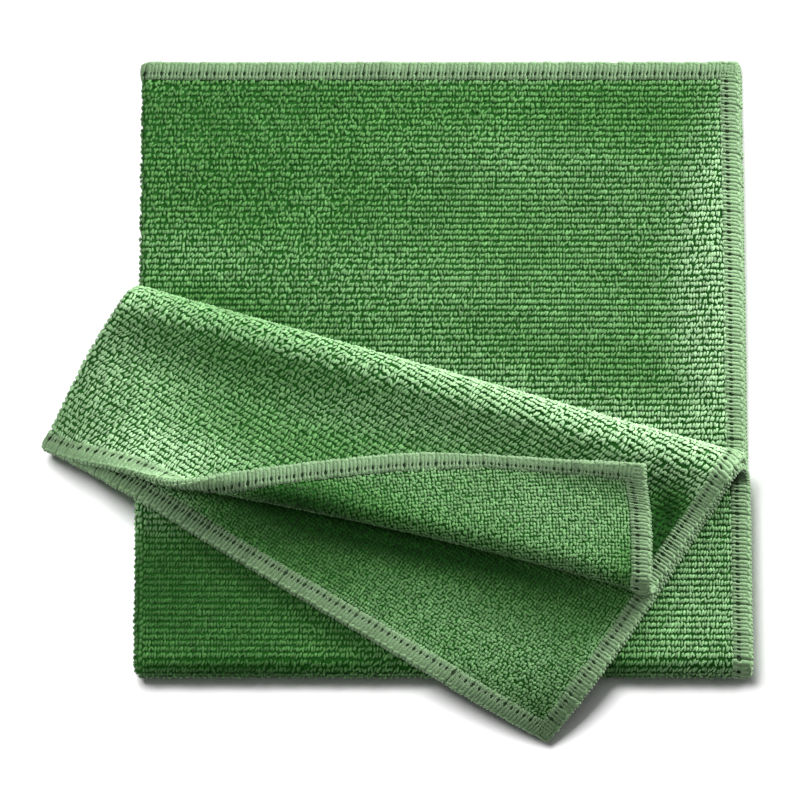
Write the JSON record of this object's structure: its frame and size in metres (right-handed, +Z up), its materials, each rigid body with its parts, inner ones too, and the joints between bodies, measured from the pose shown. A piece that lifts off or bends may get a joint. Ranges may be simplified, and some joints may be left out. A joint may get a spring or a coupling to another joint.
{
  "type": "folded microfibre cleaning cloth",
  "caption": "Square terry microfibre cloth with overlocked hems, folded in quarters, its upper layers folded down over a slanting ridge and one corner turned back.",
  "frame": {"origin": "middle of the folded cloth's outline, on the surface it lies on", "axes": "+Z up from the surface, +Y from the near fold towards the far hem, +X from the first fold towards the side hems"},
  "size_m": [0.2318, 0.2302, 0.0306],
  "materials": {
    "terry": "matte green microfibre loops in close rows, paler on the loop tips",
    "hem_thread": "pale green overlock thread, soft sheen"
  },
  "bodies": {
    "root": {"cloth": "terry"}
  },
  "joints": []
}
